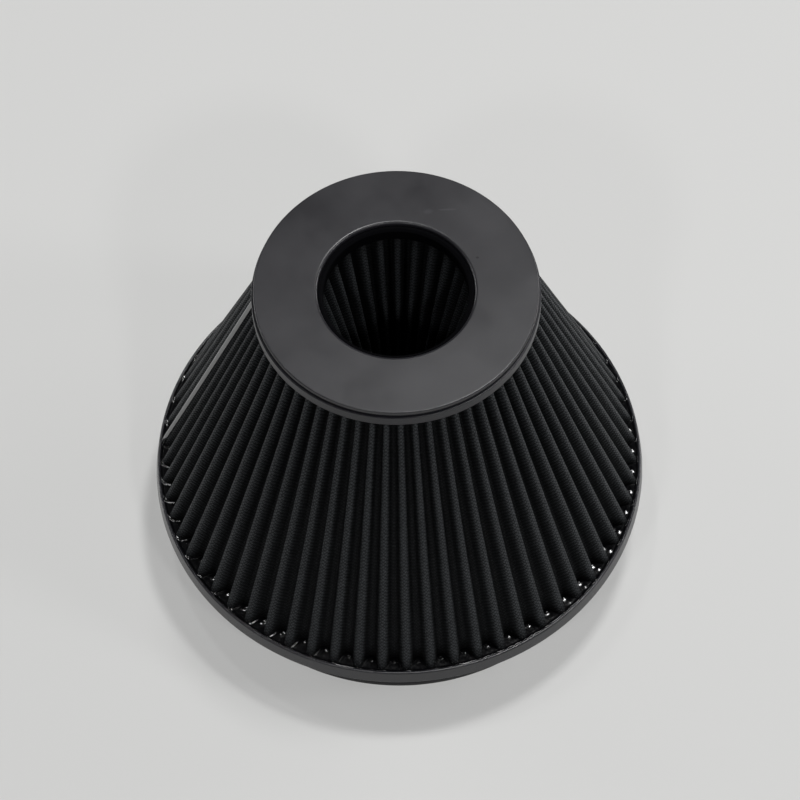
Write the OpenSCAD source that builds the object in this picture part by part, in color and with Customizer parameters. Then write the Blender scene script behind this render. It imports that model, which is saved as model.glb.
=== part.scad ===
// Cone air filter with two pleated packs, one inside the other
// Millimetres. +Z is up, and the origin is the centre of the neck's open lower end.

/* [Neck] */
// Inside diameter of the rubber neck, which slips over the intake pipe
neck_bore_d = 152; // [125:1:180]
// Wall of the rubber neck
neck_wall = 5; // [3.5:0.1:6]
// How far the neck reaches below the base pan
neck_drop = 28; // [24:0.5:45]
// How far the bead at the neck's lower end stands out
neck_bead = 2; // [1:0.1:3]
// Height of that bead
neck_bead_h = 2.6; // [1.5:0.1:4]
// Width of the neck's flange inside the pan
neck_flange_w = 6.5; // [4:0.1:7]
// Thickness of that flange
neck_flange_t = 2.4; // [1.5:0.1:3]

/* [Base pan] */
// Width of the pan's channel, from the neck to the outside of the rim
pan_w = 14; // [12.5:0.1:24]
// Height of the pan's outer wall
pan_h = 6.2; // [5:0.1:12]
// How far that wall leans in towards its top
pan_draft = 0.7; // [0:0.1:1.5]
// Thickness of the pan's metal
pan_t = 1.2; // [0.8:0.1:1.6]
// How far the potting lies below the pan's rim
potting_recess = 0.6; // [0:0.1:1.2]
// Rounding of the pan's and the cap's edges
edge_round = 0.6; // [0.2:0.1:1]

/* [Cap] */
// Outside diameter of the cap ring
cap_d = 104.5; // [100:0.1:112]
// Height of the cap ring's outer wall
cap_wall_h = 4.8; // [4:0.1:9]
// Thickness of the cap ring's wall
cap_t = 1.2; // [0.8:0.1:2]
// Height of the open groove between the cap ring and the top plate
groove_h = 0.8; // [0.4:0.1:2]
// Depth of that groove
groove_depth = 1.7; // [0.8:0.1:3]
// Thickness of the cap ring's deck under the top plate
deck_t = 1.5; // [1:0.1:3]
// How far the deck stays back from the hole's edge
deck_back = 1.2; // [0:0.1:3]
// Height from the pan's lower face to the top plate's upper face
body_h = 128; // [110:0.2:180]

/* [Top plate] */
// How far the plate's edge lies inside the cap ring's
plate_inset = 0.75; // [0.3:0.05:1.5]
// Thickness of the plate
plate_t = 1.8; // [1:0.1:3]
// Diameter of the hole in the top plate
hole_d = 56.8; // [50:0.2:60]

/* [Outer pack] */
// Number of pleats in the outer pack
outer_pleats = 62; // [48:1:72]
// Turn of the first outer pleat about the axis, in degrees
outer_phase = -2.1; // [-6:0.1:6]
// Gap between the pan's wall and the outer pleats' lower ends
outer_foot_gap = 0.5; // [0.2:0.1:3]
// Gap between the cap ring's wall and the outer pleats' upper ends
outer_head_gap = 1.7; // [0.6:0.1:3]
// Depth of the outer pleats
outer_depth = 5.7; // [4:0.1:6.2]
// Thickness of the outer sheet
outer_sheet_t = 0.9; // [0.5:0.05:1]

/* [Seam strip] */
// Outer pleat that carries the seam strip, counted from the first
seam_pleat = 30; // [1:1:46]
// How far the seam pushes its pleat round, in degrees
seam_push = 2.7; // [0:0.1:3]
// Half the angle over which that push fades, in degrees
seam_fade = 16; // [14:1:30]
// Width of the strip
seam_w = 2.9; // [2:0.1:4]
// How far the strip stands proud of its pleat
seam_proud = 1.4; // [0.6:0.1:2]

/* [Inner pack] */
// Number of pleats in the inner pack
inner_pleats = 26; // [20:1:29]
// Turn of the first inner pleat about the axis, in degrees
inner_phase = 5.2; // [-10:0.1:15]
// How far the inner pleats' folds stand inside the hole's edge
inner_proud = 1.6; // [0.5:0.1:3]
// How far the cap's bed covers those folds from above
inner_cover = 0.4; // [0.2:0.1:1]
// Depth of the inner pleats
inner_depth = 7.6; // [5:0.1:8]
// Thickness of the inner sheet
inner_sheet_t = 0.8; // [0.5:0.05:0.8]
// Height of the inner pack
inner_h = 72; // [50:1:84]
// Radius of the inner pack's folds at its small end
inner_end_r = 12; // [11:0.1:18]

/* [Inner end cap] */
// Thickness of the end cap's floor
end_cap_floor = 2.6; // [1.6:0.1:5]
// Height of the end cap's rim above its floor
end_cap_rim_h = 5; // [3:0.1:9]
// Thickness of that rim
end_cap_rim_t = 1.6; // [1:0.1:3]

/* [Hose clamp] */
// Width of the clamp's band
band_w = 12.7; // [9:0.1:13]
// Thickness of the band
band_t = 0.7; // [0.5:0.05:0.9]
// Height of the band's middle above the neck's lower end
clamp_z = 14.6; // [13.6:0.1:15.2]
// Turn of the screw housing about the neck's axis, in degrees
clamp_turn = -17; // [-180:1:180]
// Length of the band's free tail past the housing
tail_l = 36; // [15:1:60]
// Length of the screw housing
housing_l = 15; // [13:0.5:18]
// Thickness of the housing's metal
housing_t = 0.9; // [0.7:0.05:1.1]
// Outside diameter of the screw's thread
thread_d = 8.8; // [7.4:0.1:9]
// Diameter of the screw's journals in the housing's ends
journal_d = 5.2; // [4:0.1:6]
// Width across the flats of the screw's head
head_af = 8; // [6:0.1:9]
// Length of the screw's hexagon
head_l = 5.4; // [3:0.1:6]
// How far the collar under the hexagon stands out past the thread
collar_proud = 0.3; // [0.1:0.05:0.35]
// Thickness of that collar
collar_t = 1.1; // [0.8:0.1:2]
// Width of the screwdriver slot
slot_w = 1.3; // [0.8:0.1:1.8]
// Depth of the screwdriver slot
slot_depth = 2.2; // [1:0.1:2.8]

/* [Hidden] */
$fn = 96;

// Running gap of the screw in its housing, on the radius
run_gap = 0.05;
// Gap between pieces that slip together
slip_gap = 0.05;
// Room left round the thread inside the housing
thread_room = 0.3;
// Extra length of a cutter past the face that it cuts
cut = 1;

// Radii
neck_r = neck_bore_d / 2;
neck_out_r = neck_r + neck_wall;
base_r = neck_out_r + pan_w;
rim_r = base_r - pan_draft;
cap_r = cap_d / 2;
plate_r = cap_r - plate_inset;
hole_r = hole_d / 2;

// Heights of the base, from the neck's lower end upwards
pan_z = neck_drop;
floor_z = pan_z + pan_t;
flange_z = floor_z + neck_flange_t;
potting_z = pan_z + pan_h - potting_recess;

// Heights of the cap, from the top plate downwards
plate_top_z = pan_z + body_h;
plate_z = plate_top_z - plate_t;
deck_z = plate_z - deck_t;
cap_wall_top_z = plate_z - groove_h;
cap_z = cap_wall_top_z - cap_wall_h;

// Outer pack
outer_foot_r = rim_r - pan_t - outer_foot_gap;
outer_head_r = cap_r - cap_t - outer_head_gap;
outer_slope = (outer_foot_r - outer_head_r) / (cap_z - potting_z);

// Seam strip, which starts just above the pan's rim
seam_z = pan_z + pan_h + slip_gap;
seam_foot_r = outer_foot_r - outer_slope * (seam_z - potting_z);

// Inner pack
inner_head_r = hole_r - inner_proud;
inner_z = cap_z - inner_h;
inner_slope = (inner_head_r - inner_end_r) / inner_h;
cap_bore_r = inner_head_r - inner_cover;

// Shape of a fold, as shares of one pleat's pitch
ridge_half = 0.25;
valley_half = 0.2;
fold_rise = 0.17;
pinch = 0.05;
// Angles at which a fold's rounding has its points
fold_angles = [-80, -40, 0, 40, 80];

// Clamp
band_r = neck_out_r + slip_gap;
lap_r = band_r + band_t + slip_gap;
tail_r = lap_r + band_t;
thread_r = thread_d / 2;
screw_r = tail_r + slip_gap + thread_r;
housing_half_w = band_w / 2 + slip_gap + housing_t;
housing_half_angle = housing_l / 2 / band_r * 180 / PI;
tail_angle = tail_l / tail_r * 180 / PI;
perforation_pitch = 3;
perforation_w = 1.2;
perforation_l = 7.6;
perforation_slant = 6;
perforation_lead = 50;
slot_step = perforation_pitch / tail_r * 180 / PI;

// Points of an arc about [x, y], from angle a0 to angle a1
function arc(x, y, r, a0, a1, steps = 5) =
    [for (i = [0 : steps]) let (a = a0 + (a1 - a0) * i / steps) [x + r * cos(a), y + r * sin(a)]];

// Solid of revolution from a list of [radius, height] points
module turned(points) {
    rotate_extrude() polygon(points);
}

// Width of one pleat at radius r
function pitch_at(r, pleats) = 2 * PI * r / pleats;

// One surface of a fold, as [share of the pitch, distance from the crest] points. in_t is 0 on the side
// that the crests show, and the sheet's thickness on the other side, where a tight fold is pinched.
function fold_ridge(pitch, in_t) =
    let (half = max(ridge_half - in_t / pitch, pinch), rise = max(fold_rise * pitch - in_t / 2, 0))
    [for (a = fold_angles) [half * sin(a), in_t + rise * (1 - cos(a))]];
function fold_valley(pitch, depth, in_t) =
    let (half = min(valley_half + in_t / pitch, 0.5 - pinch), rise = fold_rise * pitch + in_t / 2)
    [for (a = fold_angles) [0.5 + half * sin(a), depth + in_t - rise * (1 - cos(a))]];

// One surface of a folded sheet across one pleat, as [share of the pitch, radius] points. side is 1 for
// crests that face out, and -1 for crests that face the axis.
function fold_line(r, side, pleats, depth, in_t) =
    let (
        ridge = fold_ridge(pitch_at(r, pleats), in_t),
        valley = fold_valley(pitch_at(r - side * depth, pleats), depth, in_t)
    )
    [for (p = concat(ridge, valley)) [p[0], r - side * p[1]]];

// Angle round the outer pack at pleat number k, with the seam's push
function outer_angle(k) =
    let (even = outer_phase + k * 360 / outer_pleats, seam = outer_phase + seam_pleat * 360 / outer_pleats)
    even + seam_push * exp(-pow((even - seam) / seam_fade, 2));
function inner_angle(k) = inner_phase + k * 360 / inner_pleats;

// Closed loops of the sheets' points at height z, where the crests are at radius r
function outer_loop(r, z, in_t) =
    [for (k = [0 : outer_pleats - 1], p = fold_line(r, 1, outer_pleats, outer_depth, in_t))
        let (a = outer_angle(k + p[0])) [p[1] * cos(a), p[1] * sin(a), z]];
function inner_loop(r, z, in_t) =
    [for (k = [0 : inner_pleats - 1], p = fold_line(r, -1, inner_pleats, inner_depth, in_t))
        let (a = inner_angle(k + p[0])) [p[1] * cos(a), p[1] * sin(a), z]];

// Triangles between two closed loops of n points that start at i and j
function band_faces(n, i, j) =
    [for (m = [0 : n - 1], half = [0, 1]) let (m1 = (m + 1) % n)
        half == 0 ? [i + m, j + m, j + m1] : [i + m, j + m1, i + m1]];

// Straight-sided tube between four loops of points: outside low, outside high, inside high, inside low
module lofted_tube(out_low, out_high, in_high, in_low) {
    n = len(out_low);
    polyhedron(
        points = concat(out_low, out_high, in_high, in_low),
        faces = concat(
            band_faces(n, 0, n),
            band_faces(n, n, 2 * n),
            band_faces(n, 2 * n, 3 * n),
            band_faces(n, 3 * n, 0)
        ),
        convexity = 10
    );
}

// Pressed channel that holds the potting and gives the filter its rim
module base_pan() {
    color("dimgray")
    turned(concat(
        [[neck_out_r, pan_z]],
        arc(base_r - edge_round, pan_z + edge_round, edge_round, -90, 0),
        arc(rim_r - pan_t / 2, pan_z + pan_h - pan_t / 2, pan_t / 2, 0, 180),
        [[base_r - pan_t, floor_z], [neck_out_r, floor_z]]
    ));
}

// Rubber neck with a flange inside the pan and a bead at its open end
module neck_boot() {
    bead_r = neck_out_r + neck_bead;
    mouth_round = 2;
    color("black")
    turned(concat(
        [[neck_r, 0]],
        arc(bead_r - edge_round, edge_round, edge_round, -90, 0),
        arc(bead_r - edge_round, neck_bead_h - edge_round, edge_round, 0, 60),
        [[neck_out_r, neck_bead_h + neck_bead / 2], [neck_out_r, floor_z]],
        [[neck_out_r + neck_flange_w, floor_z], [neck_out_r + neck_flange_w, flange_z]],
        arc(neck_r + mouth_round, flange_z - mouth_round, mouth_round, 90, 180)
    ));
}

// Cast bed that seals the outer pack and the neck's flange into the pan
module base_potting() {
    inner_r = neck_r + 3;
    flange_r = neck_out_r + neck_flange_w;
    bevel = 1.2;
    color("#101012")
    turned([
        [inner_r, flange_z],
        [flange_r, flange_z],
        [flange_r, floor_z],
        [base_r - pan_t, floor_z],
        [rim_r - pan_t, potting_z],
        [inner_r + bevel, potting_z],
        [inner_r, potting_z - bevel],
    ]);
}

// Outer cone of folded mesh
module outer_media() {
    color("#1c1c1e")
    lofted_tube(
        outer_loop(outer_foot_r, potting_z, 0),
        outer_loop(outer_head_r, cap_z, 0),
        outer_loop(outer_head_r, cap_z, outer_sheet_t),
        outer_loop(outer_foot_r, potting_z, outer_sheet_t)
    );
}

// Outline of the seam strip across its pleat, as a loop of 14 points at height z: seven over the crown,
// and seven back along the pleat that it sits on
function seam_loop(r, z) =
    let (
        pitch = pitch_at(r, outer_pleats),
        ridge_w = ridge_half * pitch,
        ridge_h = fold_rise * pitch,
        seat_w = min(seam_w / 2 - 3 * slip_gap, ridge_w * sin(fold_angles[4])),
        end = asin(seat_w / ridge_w),
        seat = [for (i = [3 : -1 : -3]) let (a = end * i / 3)
            [ridge_w * sin(a), ridge_h * (1 - cos(a)) - slip_gap]],
        edge = seat[0][1],
        crown = [for (a = [-90 : 30 : 90]) [seam_w / 2 * sin(a), edge - (edge + seam_proud) * cos(a)]]
    )
    [for (p = concat(crown, seat)) let (a = outer_angle(seam_pleat + p[0] / pitch))
        [(r - p[1]) * cos(a), (r - p[1]) * sin(a), z]];

// Rounded strip that covers the joint of the outer sheet's two ends
module outer_seam() {
    steps = 8;
    loops = [for (i = [0 : steps]) let (way = i / steps)
        seam_loop(seam_foot_r + (outer_head_r - seam_foot_r) * way, seam_z + (cap_z - seam_z) * way)];
    n = len(loops[0]);
    last = steps * n;
    color("#26262a")
    polyhedron(
        points = [for (loop = loops) each loop],
        faces = concat(
            [for (i = [0 : n / 2 - 2]) [i, i + 1, n - 2 - i, n - 1 - i]],
            [for (i = [0 : n / 2 - 2]) [last + n - 1 - i, last + n - 2 - i, last + i + 1, last + i]],
            [for (i = [0 : steps - 1]) each band_faces(n, i * n, (i + 1) * n)]
        ),
        convexity = 4
    );
}

// Ring that closes the packs' upper ends and carries the top plate
module cap_ring() {
    shoulder_r = cap_r - groove_depth;
    color("dimgray")
    turned(concat(
        [[cap_r - cap_t, cap_z]],
        arc(cap_r - edge_round, cap_z + edge_round, edge_round, -90, 0),
        arc(cap_r - edge_round, cap_wall_top_z - edge_round, edge_round, 0, 90),
        [[shoulder_r, cap_wall_top_z], [shoulder_r, plate_z]],
        [[hole_r + deck_back, plate_z], [hole_r + deck_back, deck_z], [cap_r - cap_t, deck_z]]
    ));
}

// Cast bed inside the cap ring, which holds both packs' upper ends
module cap_potting() {
    bevel = 0.8;
    color("#101012")
    turned([
        [cap_bore_r, cap_z],
        [cap_r - cap_t, cap_z],
        [cap_r - cap_t, deck_z],
        [hole_r + deck_back, deck_z],
        [hole_r + deck_back, plate_z],
        [cap_bore_r + bevel, plate_z],
        [cap_bore_r, plate_z - bevel],
    ]);
}

// Flat ring on top, with rounded edges
module top_plate() {
    plate_round = 0.5;
    foot_round = 0.3;
    color("#4a4a4e")
    turned(concat(
        arc(hole_r + foot_round, plate_z + foot_round, foot_round, 180, 270),
        arc(plate_r - plate_round, plate_z + plate_round, plate_round, -90, 0),
        arc(plate_r - plate_round, plate_top_z - plate_round, plate_round, 0, 90),
        arc(hole_r + plate_round, plate_top_z - plate_round, plate_round, 90, 180)
    ));
}

// Inner cone of folded mesh, upside down inside the outer one
module inner_media() {
    color("#1c1c1e")
    lofted_tube(
        inner_loop(inner_end_r, inner_z, inner_sheet_t),
        inner_loop(inner_head_r, cap_z, inner_sheet_t),
        inner_loop(inner_head_r, cap_z, 0),
        inner_loop(inner_end_r, inner_z, 0)
    );
}

// Moulded cup that closes the inner pack's small end
module inner_end_cap() {
    low_z = inner_z - end_cap_floor;
    rim_z = inner_z + end_cap_rim_h;
    seat_r = inner_end_r + inner_depth + inner_sheet_t + slip_gap;
    mouth_r = seat_r + inner_slope * end_cap_rim_h;
    rim_round = end_cap_rim_t / 2;
    cup_round = 1.5;
    color("#101012")
    turned(concat(
        [[0, low_z]],
        arc(seat_r + end_cap_rim_t - cup_round, low_z + cup_round, cup_round, -90, 0),
        arc(mouth_r + rim_round, rim_z - rim_round, rim_round, 0, 180),
        [[seat_r, inner_z], [0, inner_z]]
    ));
}

// Part of a ring of strip, from angle a0 over a sweep of degrees
module strip_arc(inside_r, a0, sweep) {
    rotate([0, 0, a0])
        rotate_extrude(angle = sweep)
            translate([inside_r, clamp_z - band_w / 2]) square([band_t, band_w]);
}

// Clamp band: one lap round the neck, a ramp over its own start, and a free tail through the housing
module clamp_band() {
    start = clamp_turn - housing_half_angle;
    overlap = 0.2;
    bury = 0.03;
    ramp_steps = 6;
    ramp_angle = 3 * slot_step;
    tail_sweep = 2 * housing_half_angle + tail_angle;
    slots_before = floor(perforation_lead / perforation_pitch);
    slots_after = floor(tail_sweep / slot_step - 0.5);
    // Points of the ramp at a radius that rises from r0 to r1
    function ramp(r0, r1) = [
        for (i = [0 : ramp_steps])
            let (way = i / ramp_steps, a = start - ramp_angle - overlap + (ramp_angle + 2 * overlap) * way)
            (r0 + (r1 - r0) * way) * [cos(a), sin(a)]
    ];
    outside = ramp(band_r + band_t - bury, tail_r - bury);
    inside = ramp(band_r + bury, lap_r + bury);
    color("silver")
    difference() {
        union() {
            strip_arc(band_r, start, 360 - ramp_angle);
            strip_arc(lap_r, start, tail_sweep);
            translate([0, 0, clamp_z - band_w / 2])
                linear_extrude(band_w)
                    polygon(concat(inside, [for (i = [ramp_steps : -1 : 0]) outside[i]]));
        }
        for (i = [-slots_before : slots_after - 1])
            rotate([0, 0, start + (i + 0.5) * slot_step])
                translate([(i < 0 ? band_r - cut : lap_r - slip_gap / 2), 0, clamp_z])
                    rotate([perforation_slant, 0, 0])
                        translate([0, -perforation_w / 2, -perforation_l / 2])
                            cube([3 * band_t + cut, perforation_w, perforation_l]);
    }
}

// Puts its children at the screw: X away from the neck, Y along the screw, towards the tail
module at_clamp() {
    rotate([0, 0, clamp_turn]) translate([0, 0, clamp_z]) children();
}

// Round bar along the screw's axis, from y0 to y1
module screw_bar(r, y0, y1) {
    translate([screw_r, y1, 0]) rotate([90, 0, 0]) cylinder(r = r, h = y1 - y0);
}

// Folded metal housing that spans the band and carries the screw at both ends
module clamp_housing() {
    roof_r = thread_r + thread_room + housing_t;
    color("#b8b8bc")
    at_clamp()
    difference() {
        union() {
            screw_bar(roof_r, -housing_l / 2, housing_l / 2);
            translate([0, housing_l / 2, 0])
                rotate([90, 0, 0])
                    linear_extrude(housing_l)
                        polygon([
                            [band_r - cut, -housing_half_w],
                            [tail_r + 1.2, -housing_half_w],
                            [screw_r + roof_r * sin(25), -roof_r * cos(25)],
                            [screw_r + roof_r * sin(25), roof_r * cos(25)],
                            [tail_r + 1.2, housing_half_w],
                            [band_r - cut, housing_half_w],
                        ]);
        }
        // The neck, the band's two layers, and the room for the thread
        translate([0, 0, -housing_half_w - cut])
            cylinder(r = neck_out_r + slip_gap, h = 2 * (housing_half_w + cut));
        translate([0, 0, -band_w / 2 - slip_gap])
            cylinder(r = tail_r + slip_gap / 2, h = band_w + 2 * slip_gap);
        screw_bar(thread_r + thread_room, housing_t - housing_l / 2, housing_l / 2 - housing_t);
        screw_bar(journal_d / 2 + run_gap, -housing_l / 2 - cut, housing_l / 2 + cut);
    }
}

// Worm screw with a slotted hexagon head. Its fine thread isn't modelled.
module clamp_screw() {
    end_play = 0.15;
    thread_half = housing_l / 2 - housing_t - end_play;
    collar_y = -housing_l / 2 - end_play;
    head_y = collar_y - collar_t;
    face_y = head_y - head_l;
    color("#d8d8dc")
    at_clamp()
    difference() {
        union() {
            screw_bar(thread_r, -thread_half, thread_half);
            screw_bar(journal_d / 2, head_y, housing_l / 2 + end_play + housing_t);
            screw_bar(thread_r + collar_proud, head_y, collar_y);
            translate([screw_r, head_y, 0])
                rotate([90, 0, 0])
                    cylinder(r = head_af / 2 / cos(30), h = head_l, $fn = 6);
        }
        translate([screw_r - head_af, face_y - cut, -slot_w / 2])
            cube([2 * head_af, slot_depth + cut, slot_w]);
    }
}

base_pan();
neck_boot();
base_potting();
outer_media();
outer_seam();
cap_ring();
cap_potting();
top_plate();
inner_media();
inner_end_cap();
clamp_band();
clamp_housing();
clamp_screw();
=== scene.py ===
# Looks of the cone air filter. Metres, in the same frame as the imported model:
# +Z is up, and the origin is the centre of the neck's open lower end.
import math

import bpy
import numpy as np
from mathutils import Matrix, Vector


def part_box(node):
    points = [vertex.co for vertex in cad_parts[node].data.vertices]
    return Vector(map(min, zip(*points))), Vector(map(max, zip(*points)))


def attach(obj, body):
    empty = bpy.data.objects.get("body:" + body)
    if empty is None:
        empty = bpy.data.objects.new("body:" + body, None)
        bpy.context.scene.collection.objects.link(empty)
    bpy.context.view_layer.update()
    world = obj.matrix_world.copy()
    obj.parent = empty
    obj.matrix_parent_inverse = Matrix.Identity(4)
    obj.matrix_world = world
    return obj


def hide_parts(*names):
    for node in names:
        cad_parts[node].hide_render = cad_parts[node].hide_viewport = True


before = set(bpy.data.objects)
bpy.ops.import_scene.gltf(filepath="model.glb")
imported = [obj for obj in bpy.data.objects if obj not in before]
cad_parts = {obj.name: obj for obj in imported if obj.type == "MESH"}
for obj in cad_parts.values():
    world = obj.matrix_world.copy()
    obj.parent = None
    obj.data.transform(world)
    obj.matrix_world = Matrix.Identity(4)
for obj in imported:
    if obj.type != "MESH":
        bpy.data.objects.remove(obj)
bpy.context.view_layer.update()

MM = 0.001

# Corners read from the frame
PAN_LOW, PAN_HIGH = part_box("base_pan")
CAP_LOW, CAP_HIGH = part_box("cap_ring")
PLATE_LOW, PLATE_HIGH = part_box("top_plate")
NECK_LOW, NECK_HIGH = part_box("neck_boot")
POTTING_LOW, POTTING_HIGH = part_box("base_potting")
OUTER_LOW, OUTER_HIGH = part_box("outer_media")
INNER_LOW, INNER_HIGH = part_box("inner_media")
SEAM_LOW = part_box("outer_seam")[0]

# Radii and walls of the turned pieces
EDGE = 0.6 * MM
BASE_R = PAN_HIGH.x
PAN_DRAFT = 0.7 * MM
RIM_R = BASE_R - PAN_DRAFT
PAN_T = 1.2 * MM
NECK_R = 76 * MM
NECK_OUT_R = 81 * MM
NECK_MOUTH = 2 * MM
NECK_BEAD = 2 * MM
NECK_BEAD_H = 2.6 * MM
FLANGE_R = 87.5 * MM
CAP_R = CAP_HIGH.x
CAP_T = 1.2 * MM
CAP_CRISP = 0.25 * MM
GROOVE_H = 0.8 * MM
GROOVE_DEPTH = 1.7 * MM
DECK_T = 1.5 * MM
DECK_BACK = 1.2 * MM
# Faces this close to the deck's edge in the hole get the dark urethane, as painted shade
DECK_SHADE_REACH = 0.1 * MM
PLATE_R = PLATE_HIGH.x
PLATE_RIM = 0.5 * MM
PLATE_FOOT = 0.15 * MM
PLATE_MOUTH = 1.1 * MM
HOLE_R = 28.4 * MM
TURNED_SIDES = 288
# Smooth shading leaves a wall flat from this far off its ends, where the wall is long enough
FLAT_FROM = 0.05 * MM
LONG_WALL = 0.3 * MM

# The outer pack and its seam. Angles are in degrees, and the seam pushes its neighbours round.
OUTER_PLEATS = 62
OUTER_PHASE = -2.1
OUTER_FOOT_R = 92.6 * MM
OUTER_HEAD_R = 49.35 * MM
OUTER_DEPTH = 5.7 * MM
OUTER_SHEET = 0.9 * MM
SEAM_PLEAT = 30
SEAM_PUSH = 2.7
SEAM_FADE = 16
SEAM_W = 2.1 * MM
SEAM_PROUD = 1.2 * MM
SEAM_SLIP = 0.05 * MM
SEAM_INSET = 0.15 * MM
SEAM_STEPS = 16
SEAM_ROWS = 24

# The inner pack
INNER_PLEATS = 26
INNER_PHASE = 5.2
INNER_HEAD_R = 26.8 * MM
INNER_END_R = 12 * MM
INNER_DEPTH = 7.6 * MM
INNER_SHEET = 0.8 * MM

# Shape of a fold, as shares of one pleat's pitch
RIDGE_HALF = 0.19
VALLEY_HALF = 0.2
FOLD_RISE = 0.17
PINCH = 0.05
FOLD_ANGLES = np.radians([-80, -62, -42, -21, 0, 21, 42, 62, 80])
FLANK_WAYS = (0.25, 0.5, 0.75)
SHEET_ROWS = 22
# How a pleat's unevenness waves along the sheet, in radians from end to end
LEAN_WAVE = 5
SWELL_WAVE = 7

# The cast bed: where its fine part begins, and how it climbs the sheet's foot and the pan's wall.
# CLIMB_SHARE is what is left of the climb away from the left, and CREEP_BLUNT keeps it finite at the sheet.
# Spreads are angles in radians.
BED_R = 79 * MM
BED_BEVEL = 1.2 * MM
BED_FINE_R = 84 * MM
BED_ACROSS = 32
BED_COARSE_ROWS = 3
BED_FINE_ROWS = 36
FOOT_STEP = 0.1 * MM
CREEP = 0.28 * MM
CREEP_BLUNT = 0.15
CREEP_FAR = 20 * CREEP
CLIMB_SHARE = 0.05
CLIMB_SPREAD = 0.8
WALL_CLIMB = 0.35 * MM
WALL_REACH = 0.45 * MM
# Climbs and swells are drawn between these, in mm
CLIMB_MIN, CLIMB_MAX = 0.5, 0.75
SWELL_MIN, SWELL_MAX = 0.18, 0.32
# The small swells: in the valleys, at the crests' tips, and at the right between crests
VALLEY_SWELL_R = OUTER_FOOT_R - OUTER_DEPTH + 1.1 * MM
VALLEY_SWELL_W = 1.1 * MM
TIP_SWELL_R = OUTER_FOOT_R + 0.1 * MM
TIP_SWELL_W = 0.9 * MM
RIGHT_SWELL = 0.25 * MM
RIGHT_SWELL_R = 91 * MM
RIGHT_SWELL_W = 0.9 * MM
RIGHT_SPREAD = 0.7

# The woven mesh, in mm along the sheet. WEAVE_STEP is how far one pleat's weave is from the next one's.
# The mesh is lightest within CREST_W of a crest's middle, and from FOLD_W on only FOLD_SHADE as light:
# painted shade in the folds.
# The inner sheet grows dark towards its top ends, just below the cap, between two distances along it:
# painted shade.
MESH_CELL = 1.6
MESH_DARK = (0.0015, 0.0016, 0.0018)
MESH_LIGHT = (0.044, 0.048, 0.052)
WEAVE_STEP = 40
CREST_W, FOLD_W = 0.6, 4.2
FOLD_SHADE = 0.25
INNER_SHADED_SPAN = (67, 73)
TOP_END_SHADE = 0.1
THREAD_STRAY = 0.22
THREAD_EDGES = (0.25, 0.75)
# Tones of the threads, of the grain and of the clouds over them, and the roughness of dark and light mesh
THREAD_TONES = (0.3, 1.5)
GRAIN_TONES = (0.5, 1.3)
CLOUD_TONES = (0.85, 1.15)
MESH_ROUGH = (0.8, 0.42)

# Where nearly all of a noise's values lie
NOISE_LOW, NOISE_HIGH = 0.3, 0.7

# Worn places on the plate: from, to and half width, in mm
HAIRLINE = ((15.6, 33.8, 0), (22.9, 33.95, 0), 0.45)
SMEAR = ((10.2, 32.8, 0), (14.4, 33.6, 0), 1.2)
NICK = ((28.7, 12.85, 0), (30.5, 12.9, 0), 0.6)
STREAK_CORE = 0.5
# Where the plate's hairs, dust specks and rare dusty places begin and end in their textures
HAIR_CUT = (0.735, 0.76)
SPECK_EDGE = (0.05, 0.09)
DUSTY_CUT = (0.66, 0.7)
# How much of each goes into the plate's tone, and how much rougher the nick is
CLOUDS_PART = 0.7
MARKS_PART = 0.7
HAIRS_PART = 0.5
SMEAR_PART = 0.4
WORN_PART = 1.2
NICK_DULLING = 0.5

# Coatings, dark and light. The clouds make this part of their tone, and the grain the rest.
RING_DARK, RING_LIGHT = (0.0092, 0.009, 0.0118), (0.0165, 0.0163, 0.0202)
CAP_DARK, CAP_LIGHT = (0.011, 0.0108, 0.0138), (0.02, 0.0198, 0.024)
COAT_CLOUDS_PART = 0.6

# The camera, from a fit to the photograph's rings: its roll in degrees, its lens and sensor in mm.
# The lights all face LIGHT_AIM, and each has a place, a width, a height and watts.
CAMERA_PLACE = (0, -0.65454, 1.19616)
CAMERA_LOOK = (0.000541, 0.504882, -0.863188)
CAMERA_ROLL = -1.03
CAMERA_LENS = 153.81
CAMERA_SENSOR = 36
LIGHT_AIM = (0, 0, 0.08)
LIGHTS = {
    "top_softbox": ((0.3, 0.38, 1.68), 0.24, 0.24, 15),
    "side_softbox": ((1.17, -0.37, 0.94), 0.25, 0.25, 3.7),
    "second_top_softbox": ((-0.3, 0.38, 1.68), 0.1, 0.1, 2.6),
    "right_softbox": ((0.45, -1.0, 1.3), 0.14, 0.14, 3.9),
    "left_softbox": ((-0.45, -1.0, 1.3), 0.14, 0.14, 3),
    "left_strip": ((-1.2, 0.6, 0.33), 0.7, 0.1, 4.6),
    "right_strip": ((1.2, 0.6, 0.33), 0.7, 0.1, 6),
}
# The world's brightness fades upwards between two heights of the view's direction
WORLD_FADE = (0.02, 0.3)
WORLD_STRENGTH = (0.6, 0.06)
# The floor's tone as a light on the object and as seen, and how much it glows as seen
FLOOR_HALF = 6
FLOOR_AS_LIGHT, FLOOR_AS_SEEN = (0.3, 0.3, 0.3), (0.36, 0.36, 0.355)
FLOOR_GLOW = 0.34


# Materials

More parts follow.
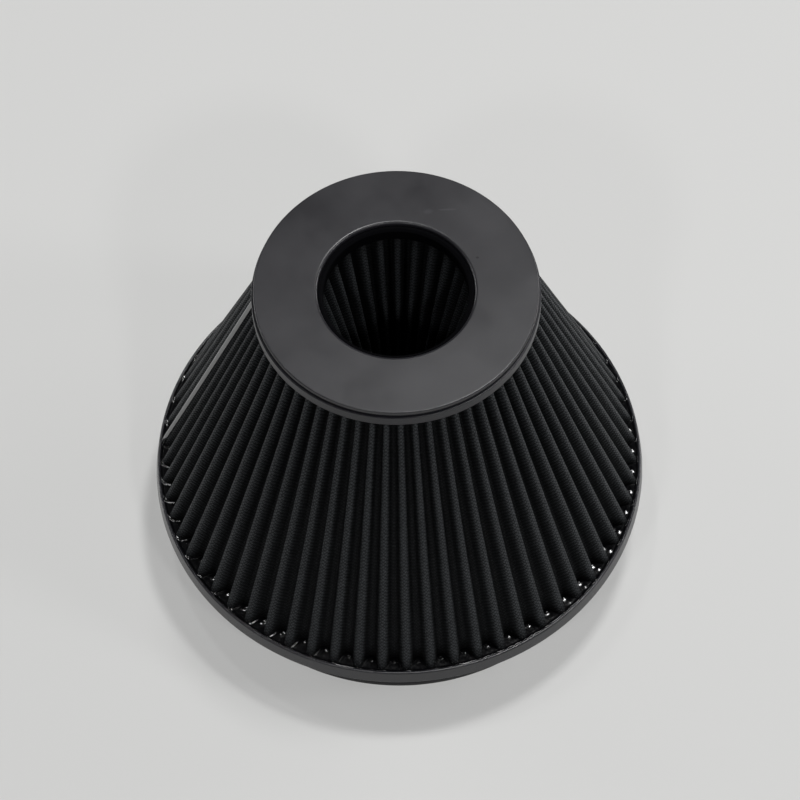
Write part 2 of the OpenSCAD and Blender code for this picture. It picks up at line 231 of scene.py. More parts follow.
class Tree:
    """The nodes of a material or world, with short ways to add what the looks are made of."""

    def __init__(self, owner):
        owner.use_nodes = True
        self.nodes = owner.node_tree.nodes
        self.links = owner.node_tree.links

    def add(self, kind, **values):
        """A node with some sockets or properties set. A value for a socket is given by the socket's name."""
        node = self.nodes.new(kind)
        for key, value in values.items():
            if key in node.inputs:
                node.inputs[key].default_value = value
            else:
                setattr(node, key, value)
        return node

    def coords(self, kind="Object"):
        return self.nodes.new("ShaderNodeTexCoord").outputs[kind]

    def mapped(self, coords, **values):
        """Coordinates that are moved, turned or stretched."""
        node = self.add("ShaderNodeMapping", **values)
        self.links.new(coords, node.inputs["Vector"])
        return node.outputs["Vector"]

    def split(self, vector):
        node = self.nodes.new("ShaderNodeSeparateXYZ")
        self.links.new(vector, node.inputs[0])
        return node.outputs

    def noise(self, coords, scale, detail=4.0, rough=0.55):
        node = self.add("ShaderNodeTexNoise", Scale=scale, Detail=detail, Roughness=rough)
        self.links.new(coords, node.inputs["Vector"])
        return node.outputs["Fac"]

    def remap(self, value, low, high, to_low, to_high):
        node = self.nodes.new("ShaderNodeMapRange")
        for name, number in (("From Min", low), ("From Max", high), ("To Min", to_low), ("To Max", to_high)):
            node.inputs[name].default_value = number
        self.links.new(value, node.inputs["Value"])
        return node.outputs["Result"]

    def vary(self, noise, to_low, to_high):
        """A noise's usual values, spread between two numbers."""
        return self.remap(noise, NOISE_LOW, NOISE_HIGH, to_low, to_high)

    def math(self, operation, a, b=None):
        node = self.nodes.new("ShaderNodeMath")
        node.operation = operation
        for slot, value in ((0, a), (1, b)):
            if value is None:
                continue
            if isinstance(value, (int, float)):
                node.inputs[slot].default_value = value
            else:
                self.links.new(value, node.inputs[slot])
        return node.outputs[0]

    def plus(self, a, b):
        return self.math("ADD", a, b)

    def times(self, a, b):
        return self.math("MULTIPLY", a, b)

    def larger(self, a, b):
        return self.math("MAXIMUM", a, b)

    def mix(self, factor, dark, light):
        node = self.nodes.new("ShaderNodeMix")
        node.data_type = "RGBA"
        self.links.new(factor, node.inputs["Factor"])
        node.inputs["A"].default_value = (*dark, 1)
        node.inputs["B"].default_value = (*light, 1)
        return node.outputs["Result"]


class Surface(Tree):
    """A material in the making, whose constant numbers sit on the shader's own sockets."""

    def __init__(self, name, color, roughness, metallic=0.0, specular=0.5):
        self.material = bpy.data.materials.new(name)
        super().__init__(self.material)
        self.shader = self.nodes["Principled BSDF"]
        self.fix("Base Color", (*color, 1))
        self.fix("Roughness", roughness)
        self.fix("Metallic", metallic)
        self.fix("Specular IOR Level", specular)

    def fix(self, socket, value):
        self.shader.inputs[socket].default_value = value

    def drive(self, socket, value):
        self.links.new(value, self.shader.inputs[socket])

    def bump(self, height, strength, distance):
        node = self.add("ShaderNodeBump", Strength=strength, Distance=distance)
        self.links.new(height, node.inputs["Height"])
        self.drive("Normal", node.outputs["Normal"])


def coated_metal(name, dark, light, roughness, specular):
    """Satin coated metal: a fine grain, and soft clouds in its tone and gloss."""
    metal = Surface(name, dark, roughness, specular=specular)
    coords = metal.coords()
    clouds = metal.noise(coords, scale=35, detail=3)
    fine = metal.noise(coords, scale=1500, detail=5, rough=0.7)
    tone = metal.plus(metal.times(clouds, COAT_CLOUDS_PART), metal.times(fine, 1 - COAT_CLOUDS_PART))
    metal.drive("Base Color", metal.mix(tone, dark, light))
    metal.drive("Roughness", metal.vary(clouds, roughness - 0.05, roughness + 0.05))
    metal.bump(fine, strength=0.12, distance=0.4 * MM)
    return metal.material


def streak(tree, coords, start, end, width):
    """A slim ellipse between two points: 1 in its core, and fading to 0 at its edge. width is half its
    width, and all are in mm."""
    start, end = Vector(start) * MM, Vector(end) * MM
    middle, along = (start + end) / 2, end - start
    turn = math.atan2(along.y, along.x)
    local = tree.mapped(coords, vector_type="TEXTURE", Location=middle, Rotation=(0, 0, turn),
                        Scale=(along.length / 2, width * MM, 1))
    reach = tree.add("ShaderNodeVectorMath", operation="LENGTH")
    tree.links.new(local, reach.inputs[0])
    return tree.remap(reach.outputs["Value"], STREAK_CORE, 1, 1, 0)


def plate_material():
    """Dark anodised plate: satin and faintly cloudy, with dust specks, hairlines and three worn places."""
    skin = Surface("satin_plate", (0.015, 0.0145, 0.0175), 0.33)
    coords = skin.coords()
    clouds = skin.noise(coords, scale=45, detail=4, rough=0.6)
    fine = skin.noise(coords, scale=2600, detail=3, rough=0.6)
    brushed = skin.mapped(coords, Scale=(260, 14, 14), Rotation=(0, 0, 0.9))
    hairs = skin.remap(skin.noise(brushed, scale=1, detail=2, rough=0.4), *HAIR_CUT, 0, 1)
    specks = skin.add("ShaderNodeTexVoronoi", Scale=420)
    skin.links.new(coords, specks.inputs["Vector"])
    dust = skin.remap(specks.outputs["Distance"], *SPECK_EDGE, 1, 0)
    dusty = skin.remap(skin.noise(coords, scale=160, detail=1), *DUSTY_CUT, 0, 1)
    marks = skin.larger(skin.times(hairs, HAIRS_PART), skin.times(dust, dusty))
    flat = skin.mapped(coords, Scale=(1, 1, 0))
    hairline, smear, nick = (streak(skin, flat, *place) for place in (HAIRLINE, SMEAR, NICK))
    pale = skin.larger(hairline, skin.times(smear, SMEAR_PART))
    tone = skin.plus(skin.times(clouds, CLOUDS_PART), skin.times(marks, MARKS_PART))
    tone = skin.plus(tone, skin.times(pale, WORN_PART))
    tone = skin.times(tone, skin.remap(nick, 0, 1, 1, 0))
    skin.drive("Base Color", skin.mix(tone, (0.006, 0.0057, 0.0078), (0.028, 0.0272, 0.032)))
    rough = skin.vary(clouds, 0.3, 0.36)
    skin.drive("Roughness", skin.plus(rough, skin.times(nick, NICK_DULLING)))
    skin.bump(fine, strength=0.08, distance=0.3 * MM)
    return skin.material


def mesh_material(name, shaded_span=None):
    """Woven mesh over dark filter cloth. Its threads slant both ways across the sheet's own coordinates,
    which are in millimetres along the sheet, and show a light dot in each cell. The mesh is painted lighter
    along each crest and darker down in the folds, as painted shade. Its second argument gives the two
    distances along the sheet, in millimetres, between which it grows dark: painted shade at its top ends,
    just below the cap."""
    weave = Surface(name, MESH_DARK, 0.6, specular=0.15)
    sheet = weave.add("ShaderNodeUVMap", uv_map="sheet").outputs["UV"]
    parts = weave.split(sheet)
    across, along = parts["X"], parts["Y"]
    wander = weave.vary(weave.noise(sheet, scale=0.7, detail=2), -THREAD_STRAY, THREAD_STRAY)
    threads = []
    for operation in ("ADD", "SUBTRACT"):
        slant = weave.plus(weave.math(operation, across, along), wander)
        wave = weave.math("SINE", weave.times(slant, math.pi / MESH_CELL))
        threads.append(weave.math("ABSOLUTE", wave))
    net = weave.remap(weave.times(*threads), *THREAD_EDGES, *THREAD_TONES)
    grain = weave.vary(weave.noise(sheet, scale=0.9, detail=2), *GRAIN_TONES)
    clouds = weave.vary(weave.noise(weave.coords(), scale=60, detail=3), *CLOUD_TONES)
    tone = weave.times(net, weave.times(grain, clouds))
    # Painted shade: the mesh grows darker away from each crest, down in the folds.
    from_crest = weave.math("PINGPONG", across, WEAVE_STEP / 2)
    tone = weave.times(tone, weave.remap(from_crest, CREST_W, FOLD_W, 1, FOLD_SHADE))
    # Painted shade: the inner sheet grows dark towards its top ends, just below the cap.
    if shaded_span:
        tone = weave.times(tone, weave.remap(along, *shaded_span, 1, TOP_END_SHADE))
    weave.drive("Base Color", weave.mix(tone, MESH_DARK, MESH_LIGHT))
    weave.drive("Roughness", weave.remap(tone, 0, 1, *MESH_ROUGH))
    weave.bump(tone, strength=0.5, distance=0.3 * MM)
    return weave.material


def potting_material(name, roughness, specular):
    """Cast black urethane, a little wavy."""
    cast = Surface(name, (0.002, 0.002, 0.0025), roughness, specular=specular)
    coords = cast.coords()
    fine = cast.noise(coords, scale=900, detail=2)
    cast.drive("Roughness", cast.vary(fine, roughness - 0.04, roughness + 0.04))
    cast.bump(cast.noise(coords, scale=220, detail=2), strength=0.2, distance=0.5 * MM)
    return cast.material


def rubber_material():
    """Dull moulded rubber with a fine grain."""
    rubber = Surface("neck_rubber", (0.014, 0.014, 0.015), 0.62, specular=0.4)
    coords = rubber.coords()
    clouds = rubber.noise(coords, scale=40, detail=3)
    fine = rubber.noise(coords, scale=1800, detail=4, rough=0.7)
    rubber.drive("Base Color", rubber.mix(clouds, (0.011, 0.011, 0.012), (0.022, 0.022, 0.023)))
    rubber.drive("Roughness", rubber.vary(clouds, 0.55, 0.7))
    rubber.bump(fine, strength=0.2, distance=0.3 * MM)
    return rubber.material


def seam_material():
    """Glossy dark plastic. Its high IOR gives the seam strip its bright highlight."""
    gloss = Surface("seam_plastic", (0.05, 0.05, 0.055), 0.18, specular=1.0)
    gloss.fix("IOR", 1.9)
    fine = gloss.noise(gloss.coords(), scale=700, detail=3)
    gloss.drive("Base Color", gloss.mix(fine, (0.026, 0.026, 0.03), (0.04, 0.04, 0.045)))
    gloss.drive("Roughness", gloss.vary(fine, 0.15, 0.22))
    gloss.bump(fine, strength=0.1, distance=0.3 * MM)
    return gloss.material


def steel_material(name, roughness, grain):
    """Brushed stainless steel. grain is the brushing's scale along X, Y and Z."""
    steel = Surface(name, (0.58, 0.58, 0.6), roughness, metallic=1.0)
    lines = steel.noise(steel.mapped(steel.coords(), Scale=grain), scale=1, detail=4, rough=0.6)
    steel.drive("Base Color", steel.mix(lines, (0.5, 0.5, 0.52), (0.66, 0.66, 0.68)))
    steel.drive("Roughness", steel.vary(lines, roughness - 0.06, roughness + 0.08))
    steel.bump(lines, strength=0.03, distance=0.2 * MM)
    return steel.material


# Mesh helpers

def add_piece(name, points, faces, mat, replaces, uvs=None):
    """A smooth-shaded piece that rides on the filter and stands for CAD nodes."""
    mesh = bpy.data.meshes.new(name)
    mesh.from_pydata(np.asarray(points).tolist(), [], np.asarray(faces).tolist())
    mesh.polygons.foreach_set("use_smooth", [True] * len(mesh.polygons))
    if uvs is not None:
        layer = mesh.uv_layers.new(name="sheet")
        layer.data.foreach_set("uv", np.asarray(uvs, np.float32).ravel())
    mesh.materials.append(mat)
    mesh.update()
    piece = bpy.data.objects.new(name, mesh)
    bpy.context.scene.collection.objects.link(piece)
    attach(piece, "filter")
    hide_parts(*replaces)
    return piece


def grid_faces(rows, columns, first=0, flip=False):
    """Quads of a grid of points that closes on itself along its columns."""
    row, column = np.meshgrid(np.arange(rows - 1), np.arange(columns), indexing="ij")
    after = (column + 1) % columns
    quads = np.stack([row * columns + column, row * columns + after,
                      (row + 1) * columns + after, (row + 1) * columns + column], -1).reshape(-1, 4) + first
    return quads[:, ::-1] if flip else quads


def round_points(radius, turns, height):
    """Points at some angles round the axis. radius and height are one number each, or one for each angle."""
    return np.stack([radius * np.cos(turns), radius * np.sin(turns), np.zeros_like(turns) + height], -1)


def arc(x, y, r, start, end, steps=6):
    """Points of an arc in a profile, between two angles in degrees."""
    angles = np.radians(np.linspace(start, end, steps + 1))
    return [(x + r * math.cos(a), y + r * math.sin(a)) for a in angles]


def turned(name, profile, mat, replaces):
    """A solid of revolution. profile is a closed outline of (radius, height), anticlockwise with the radius
    to the right. Long walls get points close to their ends, so that smooth shading leaves them flat."""
    outline = []
    for i, point in enumerate(profile):
        here = Vector(point)
        before = Vector(profile[i - 1]) - here
        after = Vector(profile[(i + 1) % len(profile)]) - here
        if before.length > LONG_WALL:
            outline.append(here + before.normalized() * FLAT_FROM)
        outline.append(here)
        if after.length > LONG_WALL:
            outline.append(here + after.normalized() * FLAT_FROM)
    turns = np.linspace(0, 2 * math.pi, TURNED_SIDES, endpoint=False)
    points = np.concatenate([round_points(point.x, turns, point.y) for point in outline])
    faces = grid_faces(len(outline) + 1, TURNED_SIDES) % len(points)
    return add_piece(name, points, faces, mat, replaces)


# The folded sheets

def pitch_at(radius, pleats):
    return 2 * math.pi * radius / pleats


def fold_outline(radius, side, pleats, depth, sheet):
    """One surface of a folded sheet across one pleat: its shares of the pitch, and its radii. It runs from
    one valley's middle to the next. side is 1 for crests that face out, and -1 for crests that face the
    axis."""
    crest_pitch = pitch_at(radius, pleats)
    valley_pitch = pitch_at(radius - side * depth, pleats)
    ridge_half = max(RIDGE_HALF - sheet / crest_pitch, PINCH)
    ridge_rise = max(FOLD_RISE * crest_pitch - sheet / 2, 0)
    valley_half = min(VALLEY_HALF + sheet / valley_pitch, 0.5 - PINCH)
    valley_rise = FOLD_RISE * valley_pitch + sheet / 2
    ridge = np.stack([ridge_half * np.sin(FOLD_ANGLES), sheet + ridge_rise * (1 - np.cos(FOLD_ANGLES))], -1)
    valley = np.stack([valley_half * np.sin(FOLD_ANGLES),
                       depth + sheet - valley_rise * (1 - np.cos(FOLD_ANGLES))], -1)
    middle = len(FOLD_ANGLES) // 2
    left, right = valley[middle:] - [0.5, 0], valley[:middle + 1] + [0.5, 0]
    rise = [left[-1] + (ridge[0] - left[-1]) * way for way in FLANK_WAYS]
    fall = [ridge[-1] + (right[0] - ridge[-1]) * way for way in FLANK_WAYS]
    line = np.concatenate([left, rise, ridge, fall, right])
    return line[:, 0], radius - side * line[:, 1]


def outer_angle(pleat):
    """Angle round the outer pack at a pleat number, with the push that the seam gives its neighbours."""
    even = OUTER_PHASE + pleat * 360 / OUTER_PLEATS
    seam = OUTER_PHASE + SEAM_PLEAT * 360 / OUTER_PLEATS
    return np.radians(even + SEAM_PUSH * np.exp(-((even - seam) / SEAM_FADE) ** 2))


def inner_angle(pleat):
    return np.radians(INNER_PHASE + pleat * 360 / INNER_PLEATS)


def folded_surface(rows, pleats, side, depth, sheet, angle, sway):
    """Points of one surface as (row, column, xyz), and the sheet's coordinates in mm as (row, pleat, column,
    uv), with one more column a pleat than the points have."""
    points, coords = [], []
    pleat = np.arange(pleats)
    for share, (radius, height) in zip(np.linspace(0, 1, len(rows)), rows):
        shares, radii = fold_outline(radius, side, pleats, depth, sheet)
        lean, swell = sway(share)
        ridge_part = np.cos(math.pi * shares) ** 2
        turn = angle(pleat[:, None] + shares[None, :] + lean[:, None] * ridge_part)
        reach = radii[None, :] + side * swell[:, None] * ridge_part
        points.append(round_points(reach, turn, height)[:, :-1].reshape(-1, 3))
        steps = np.hypot(np.diff(shares) * pitch_at(radius, pleats), np.diff(radii))
        run = np.concatenate([[0], np.cumsum(steps)])
        run -= run[len(run) // 2]
        slope = math.hypot(height - rows[0][1], radius - rows[0][0])
        uv = np.stack([run / MM + WEAVE_STEP * pleat[:, None], np.full((pleats, len(run)), slope / MM)], -1)
        coords.append(uv)
    return np.array(points), np.array(coords)


def folded_sheet(name, rows, pleats, side, depth, sheet, angle, sway, mat, replaces):
    """A closed folded sheet, with its shown surface, its back and its two cut ends."""
    points, faces, uvs, starts = [], [], [], []
    first = 0
    for thickness in (0, sheet):
        xyz, coords = folded_surface(rows, pleats, side, depth, thickness, angle, sway)
        count, columns = xyz.shape[:2]
        flip = (side == -1) != (thickness > 0)
        low, high = coords[:-1], coords[1:]
        corner = np.stack([low[:, :, :-1], low[:, :, 1:], high[:, :, 1:], high[:, :, :-1]], 3)
        corner = corner.reshape(-1, 4, 2)
        points.append(xyz.reshape(-1, 3))
        faces.append(grid_faces(count, columns, first, flip))
        uvs.append(corner[:, ::-1] if flip else corner)
        starts.append(first)
        first += count * columns
    front, back = starts
    column = np.arange(columns)
    after = (column + 1) % columns
    for row, flip in ((0, side == 1), (count - 1, side == -1)):
        start, end = front + row * columns, back + row * columns
        quads = np.stack([start + column, start + after, end + after, end + column], -1)
        faces.append(quads[:, ::-1] if flip else quads)
        uvs.append(np.zeros((columns, 4, 2)))
    return add_piece(name, np.concatenate(points), np.concatenate(faces), mat, replaces,
                     uvs=np.concatenate(uvs))


def pleat_sway(pleats, seed, lean, swell, still=()):
    """Small unevenness of each pleat: how far it leans, as a share of the pitch, and how far it stands out.
    Pleats in still have none."""
    rng = np.random.default_rng(seed)
    leans = rng.normal(0, lean, (2, pleats))
    swells = rng.normal(0, swell, (2, pleats))
    starts = rng.uniform(0, 2 * math.pi, (2, pleats))
    leans[:, list(still)] = 0
    swells[:, list(still)] = 0

    def at(share):
        bow = math.sin(math.pi * share)
        along = leans[0] * bow + leans[1] * bow * np.sin(LEAN_WAVE * share + starts[0])
        out = swells[0] * bow + swells[1] * bow * np.sin(SWELL_WAVE * share + starts[1])
        return along, out

    return at


def straight_rows(low, high):
    """Rows of (radius, height) between a sheet's two ends."""
    return [tuple(Vector(low).lerp(Vector(high), share)) for share in np.linspace(0, 1, SHEET_ROWS)]


def outer_pack(mat):
    rows = straight_rows((OUTER_FOOT_R, OUTER_LOW.z), (OUTER_HEAD_R, OUTER_HIGH.z))
    sway = pleat_sway(OUTER_PLEATS, seed=11, lean=0.012, swell=0.1 * MM, still=(SEAM_PLEAT,))
    folded_sheet("outer_pleats", rows, OUTER_PLEATS, 1, OUTER_DEPTH, OUTER_SHEET, outer_angle, sway, mat,
                 ("outer_media",))


def inner_pack(mat):
    rows = straight_rows((INNER_END_R, INNER_LOW.z), (INNER_HEAD_R, INNER_HIGH.z))
    sway = pleat_sway(INNER_PLEATS, seed=5, lean=0.014, swell=0.1 * MM)
    folded_sheet("inner_pleats", rows, INNER_PLEATS, -1, INNER_DEPTH, INNER_SHEET, inner_angle, sway, mat,
                 ("inner_media",))


def seam_outline(radius):
    """The strip's outline across its pleat: over the crown, and back along the crest that it sits on."""
    pitch = pitch_at(radius, OUTER_PLEATS)
    ridge_w, ridge_h = RIDGE_HALF * pitch, FOLD_RISE * pitch
    seat_w = min(SEAM_W / 2 - SEAM_INSET, ridge_w * math.sin(FOLD_ANGLES[-1]))
    end = math.asin(seat_w / ridge_w)
    back = np.linspace(end, -end, SEAM_STEPS + 1)
    seat = np.stack([ridge_w * np.sin(back), ridge_h * (1 - np.cos(back)) - SEAM_SLIP], -1)
    edge = seat[0, 1]
    over = np.linspace(-math.pi / 2, math.pi / 2, SEAM_STEPS + 1)
    crown = np.stack([SEAM_W / 2 * np.sin(over), edge - (edge + SEAM_PROUD) * np.cos(over)], -1)
    return np.concatenate([crown, seat])


def seam_strip(mat):
    """Rounded strip over the joint of the outer sheet's ends, from just above the pan's rim."""
    points = []
    start = (SEAM_LOW.z - OUTER_LOW.z) / (OUTER_HIGH.z - OUTER_LOW.z)
    for share in np.linspace(start, 1, SEAM_ROWS):
        radius = OUTER_FOOT_R + (OUTER_HEAD_R - OUTER_FOOT_R) * share
        height = OUTER_LOW.z + (OUTER_HIGH.z - OUTER_LOW.z) * share
        loop = seam_outline(radius)
        turn = outer_angle(SEAM_PLEAT + loop[:, 0] / pitch_at(radius, OUTER_PLEATS))
        points.append(round_points(radius - loop[:, 1], turn, height))
    columns = len(points[0])
    faces = grid_faces(SEAM_ROWS, columns).tolist()
    for row, flip in ((0, True), (SEAM_ROWS - 1, False)):
        for i in range(SEAM_STEPS):
            quad = [row * columns + n for n in (i, i + 1, columns - 2 - i, columns - 1 - i)]
            faces.append(quad[::-1] if flip else quad)
    add_piece("seam_strip", np.concatenate(points), faces, mat, ("outer_seam",))


# The cast bed at the base

def foot_lines(pitch):
    """The outer sheet's two surfaces at its foot, laid out flat over three pleats, as (count, 2) points."""
    lines = []
    for thickness in (0, OUTER_SHEET):
        shares, radii = fold_outline(OUTER_FOOT_R, 1, OUTER_PLEATS, OUTER_DEPTH, thickness)
        line = np.stack([shares * pitch, radii], -1)
        run = np.concatenate([[0], np.cumsum(np.linalg.norm(np.diff(line, axis=0), axis=-1))])
        even = np.arange(0, run[-1], FOOT_STEP)
        for turn in (-1, 0, 1):
            lines.append(np.stack([np.interp(even, run, line[:, 0]) + turn * pitch,
                                   np.interp(even, run, line[:, 1])], -1))
    return np.concatenate(lines)


def foot_pull(shares, radii, pitch):
    """How strongly the sheet's foot draws the bed up over one pleat, against a long straight foot."""
    def kernel(gap):
        return np.exp(-gap / CREEP) / np.sqrt(gap / CREEP + CREEP_BLUNT)

    grid = np.stack(np.meshgrid(shares * pitch, radii, indexing="ij"), -1)
    gaps = np.linalg.norm(grid[:, :, None] - foot_lines(pitch), axis=-1)
    straight = 2 * kernel(np.arange(0, CREEP_FAR, FOOT_STEP)).sum()
    return kernel(gaps).sum(-1) / straight


def bed_lift(shares, radii, pitch):
    """How far the bed's top stands above its level, as (pleat, share, radius). It creeps up the pan's wall
    and, most of all at the left, up the sheet's foot, and swells a little here and there."""
    def swelling(share, radius, width):
        """A small round swelling at one place on each pleat."""
        away = np.hypot((shares[:, None] - share) * pitch, radii - radius)
        return np.exp(-(away / width) ** 2)

    rng = np.random.default_rng(3)
    way = np.exp(1j * outer_angle(np.arange(OUTER_PLEATS)))
    at_left = CLIMB_SHARE + (1 - CLIMB_SHARE) * np.exp(-(np.angle(-way) / CLIMB_SPREAD) ** 2)
    at_right = np.exp(-(np.angle(way) / RIGHT_SPREAD) ** 2)
    own = rng.uniform(CLIMB_MIN, CLIMB_MAX, OUTER_PLEATS) * MM * at_left
    mix = 0.5 * np.sin(math.pi * np.abs(shares)) ** 2
    beside = np.where(shares[None, :] < 0, np.roll(own, 1)[:, None], np.roll(own, -1)[:, None])
    climbs = own[:, None] * (1 - mix) + beside * mix
    near_wall = np.exp(-((radii[-1] - radii) / WALL_REACH) ** 2)
    lift = climbs[:, :, None] * foot_pull(shares, radii, pitch) * (1 - near_wall) + WALL_CLIMB * near_wall
    tips, valleys = rng.uniform(SWELL_MIN, SWELL_MAX, (2, OUTER_PLEATS, 1, 1)) * MM
    lift += tips * swelling(0, TIP_SWELL_R, TIP_SWELL_W)
    lift += valleys * swelling(0.5, VALLEY_SWELL_R, VALLEY_SWELL_W)
    lift += np.roll(valleys, 1, 0) * swelling(-0.5, VALLEY_SWELL_R, VALLEY_SWELL_W)
    for share in (-0.5, 0.5):
        lift += RIGHT_SWELL * at_right[:, None, None] * swelling(share, RIGHT_SWELL_R, RIGHT_SWELL_W)
    return lift


def potting_bed(mat):
    """The urethane in the pan, round the sheet's foot and over the neck's flange."""
    top = POTTING_HIGH.z
    pitch = pitch_at(OUTER_FOOT_R - OUTER_DEPTH / 2, OUTER_PLEATS)
    shares = np.linspace(-0.5, 0.5, BED_ACROSS, endpoint=False)
    radii = np.concatenate([np.linspace(BED_R + BED_BEVEL, BED_FINE_R, BED_COARSE_ROWS, endpoint=False),
                            np.linspace(BED_FINE_R, RIM_R - PAN_T, BED_FINE_ROWS)])
    turns = outer_angle(np.arange(OUTER_PLEATS)[:, None] + shares).ravel()
    lift = bed_lift(shares, radii, pitch).reshape(-1, len(radii)).T
    inside = ((FLANGE_R, NECK_HIGH.z), (BED_R, NECK_HIGH.z), (BED_R, top - BED_BEVEL))
    outline = [round_points(radius, turns, height) for radius, height in inside]
    outline += [round_points(radius, turns, top + rise) for radius, rise in zip(radii, lift)]
    outline += [round_points(radius, turns, POTTING_LOW.z) for radius in (BASE_R - PAN_T, FLANGE_R)]
    points = np.concatenate(outline)
    faces = grid_faces(len(outline) + 1, len(turns), flip=True) % len(points)
    add_piece("potting_bed", points, faces, mat, ("base_potting",))


# The turned pieces

def base_pan(mat):
    low, high = PAN_LOW.z, PAN_HIGH.z
    profile = [(NECK_OUT_R, low)] + arc(BASE_R - EDGE, low + EDGE, EDGE, -90, 0)
    profile += arc(RIM_R - PAN_T / 2, high - PAN_T / 2, PAN_T / 2, 0, 180, steps=10)
    profile += [(BASE_R - PAN_T, low + PAN_T), (NECK_OUT_R, low + PAN_T)]
    turned("pan_shell", profile, mat, ("base_pan",))


def neck(mat):
    low, high = NECK_LOW.z, NECK_HIGH.z
    floor = PAN_LOW.z + PAN_T
    bead_r = NECK_OUT_R + NECK_BEAD
    bead_high = low + NECK_BEAD_H
    profile = [(NECK_R, low)] + arc(bead_r - EDGE, low + EDGE, EDGE, -90, 0)
    profile += arc(bead_r - EDGE, bead_high - EDGE, EDGE, 0, 60)
    profile += [(NECK_OUT_R, bead_high + NECK_BEAD / 2), (NECK_OUT_R, floor)]
    profile += [(FLANGE_R, floor), (FLANGE_R, high)]
    profile += arc(NECK_R + NECK_MOUTH, high - NECK_MOUTH, NECK_MOUTH, 90, 180, steps=10)
    turned("rubber_neck", profile, mat, ("neck_boot",))


def cap_shell(mat, deck_shade):
    """The ring, its open groove, and the deck under the plate. The deck's edge in the hole gets the dark
    urethane, as painted shade under the plate's edge.
    """
    low, high = CAP_LOW.z, CAP_HIGH.z
    wall_top = high - GROOVE_H
    deck_r = HOLE_R + DECK_BACK
    profile = [(CAP_R - CAP_T, low)] + arc(CAP_R - EDGE, low + EDGE, EDGE, -90, 0)
    profile += arc(CAP_R - CAP_CRISP, wall_top - CAP_CRISP, CAP_CRISP, 0, 90)
    profile += [(CAP_R - GROOVE_DEPTH, wall_top), (CAP_R - GROOVE_DEPTH, high)]
    profile += [(deck_r, high), (deck_r, high - DECK_T), (CAP_R - CAP_T, high - DECK_T)]
    piece = turned("cap_shell", profile, mat, ("cap_ring",))
    piece.data.materials.append(deck_shade)
    shade_index = len(piece.data.materials) - 1
    # Painted shade: the deck's edge in the hole gets the dark urethane.
    for face in piece.data.polygons:
        if face.center.xy.length < deck_r + DECK_SHADE_REACH:
            face.material_index = shade_index


def plate(mat):
    low, high = PLATE_LOW.z, PLATE_HIGH.z
    profile = arc(HOLE_R + PLATE_FOOT, low + PLATE_FOOT, PLATE_FOOT, 180, 270)
    profile += arc(PLATE_R - PLATE_FOOT, low + PLATE_FOOT, PLATE_FOOT, -90, 0)
    profile += arc(PLATE_R - PLATE_RIM, high - PLATE_RIM, PLATE_RIM, 0, 90)
    profile += arc(HOLE_R + PLATE_MOUTH, high - PLATE_MOUTH, PLATE_MOUTH, 90, 180, steps=10)
    turned("satin_top", profile, mat, ("top_plate",))


def finish_cad_node(node, mat):
    """A CAD node that keeps its own shape gets a material."""
    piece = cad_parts[node]
    piece.data.materials.clear()
    piece.data.materials.append(mat)


# Camera, light and floor

def make_camera():
    """At the photograph's place: above the front, looking down at nearly 60 degrees."""
    data = bpy.data.cameras.new("camera")
    data.sensor_width = CAMERA_SENSOR
    data.lens = CAMERA_LENS
    camera = bpy.data.objects.new("camera", data)
    bpy.context.scene.collection.objects.link(camera)
    turn = Vector(CAMERA_LOOK).to_track_quat("-Z", "Y").to_matrix().to_4x4()
    roll = Matrix.Rotation(math.radians(CAMERA_ROLL), 4, "Z")
    camera.matrix_world = Matrix.Translation(CAMERA_PLACE) @ turn @ roll
    bpy.context.scene.camera = camera


def area_light(name, place, width, height, power):
    data = bpy.data.lights.new(name, "AREA")
    data.shape = "RECTANGLE"
    data.size, data.size_y = width, height
    data.energy = power
    light = bpy.data.objects.new(name, data)
    bpy.context.scene.collection.objects.link(light)
    look = (Vector(LIGHT_AIM) - Vector(place)).to_track_quat("-Z", "Y")
    light.matrix_world = Matrix.Translation(place) @ look.to_matrix().to_4x4()


def make_world():
    """Pale at the horizon, and dim overhead, where the softboxes are."""
    world = bpy.data.worlds.new("studio")
    tree = Tree(world)
    back = tree.nodes["Background"]
    back.inputs["Color"].default_value = (0.86, 0.87, 0.88, 1)
    height = tree.split(tree.coords("Generated"))["Z"]
    tree.links.new(tree.remap(height, *WORLD_FADE, *WORLD_STRENGTH), back.inputs["Strength"])
    bpy.context.scene.world = world


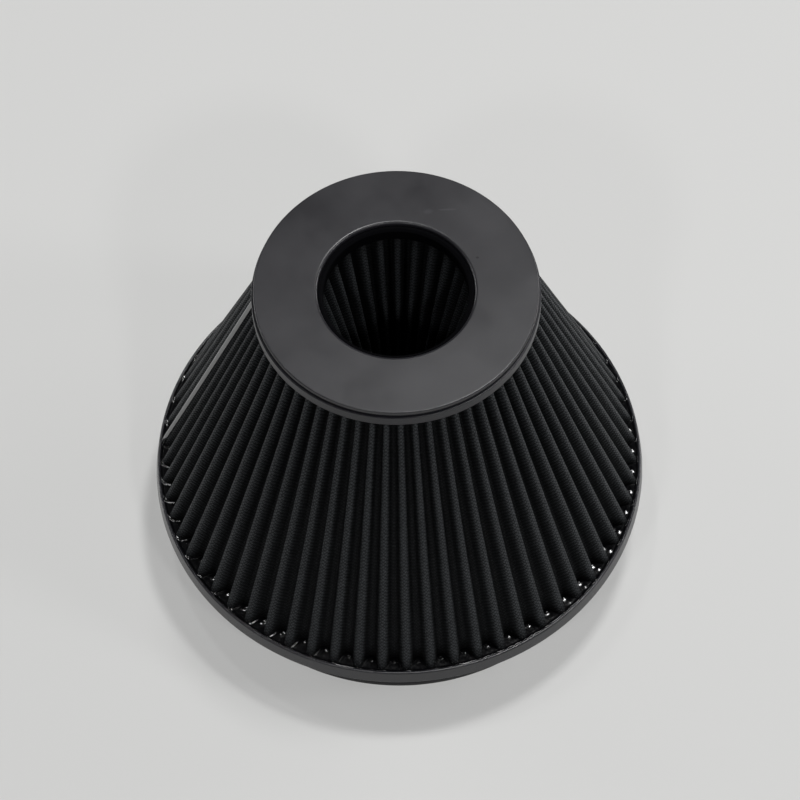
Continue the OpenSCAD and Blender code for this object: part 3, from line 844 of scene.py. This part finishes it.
def floor_material():
    """Pale as seen and in reflections, also where the softboxes don't reach. As a light on the object it is
    dimmer."""
    pale = Surface("pale_floor", (0.66, 0.66, 0.65), 0.8, specular=0.1)
    rays = pale.nodes.new("ShaderNodeLightPath").outputs
    seen = pale.larger(rays["Is Camera Ray"], rays["Is Glossy Ray"])
    seen = pale.larger(seen, rays["Is Transmission Ray"])
    pale.drive("Base Color", pale.mix(seen, FLOOR_AS_LIGHT, FLOOR_AS_SEEN))
    pale.fix("Emission Color", (0.86, 0.86, 0.85, 1))
    pale.drive("Emission Strength", pale.times(seen, FLOOR_GLOW))
    return pale.material


def make_floor():
    mesh = bpy.data.meshes.new("floor")
    corners = [(x * FLOOR_HALF, y * FLOOR_HALF, 0) for x, y in ((-1, -1), (1, -1), (1, 1), (-1, 1))]
    mesh.from_pydata(corners, [], [(0, 1, 2, 3)])
    mesh.materials.append(floor_material())
    floor = bpy.data.objects.new("floor", mesh)
    bpy.context.scene.collection.objects.link(floor)


def main():
    make_camera()
    # Dull urethane for the cap's potting and the inner end cap, and as painted shade on the deck's edge in
    # the hole
    dull_urethane_and_deck_shade = potting_material("dull_urethane_and_deck_shade", roughness=0.8, specular=0.02)
    base_pan(coated_metal("ring_coat", RING_DARK, RING_LIGHT, roughness=0.29, specular=0.5))
    cap_shell(coated_metal("cap_coat", CAP_DARK, CAP_LIGHT, roughness=0.3, specular=0.25), dull_urethane_and_deck_shade)
    plate(plate_material())
    neck(rubber_material())
    outer_pack(mesh_material("woven_mesh"))
    inner_pack(mesh_material("inner_mesh", INNER_SHADED_SPAN))
    seam_strip(seam_material())
    potting_bed(potting_material("cast_urethane", roughness=0.12, specular=0.36))
    finish_cad_node("cap_potting", dull_urethane_and_deck_shade)
    finish_cad_node("inner_end_cap", dull_urethane_and_deck_shade)
    finish_cad_node("clamp_band", steel_material("band_steel", roughness=0.26, grain=(40, 40, 3000)))
    finish_cad_node("clamp_housing", steel_material("housing_steel", roughness=0.3, grain=(600, 600, 600)))
    finish_cad_node("clamp_screw", steel_material("screw_steel", roughness=0.22, grain=(900, 900, 900)))
    for name, light in LIGHTS.items():
        area_light(name, *light)
    make_world()
    make_floor()
    bpy.context.scene.view_settings.view_transform = "Standard"


main()
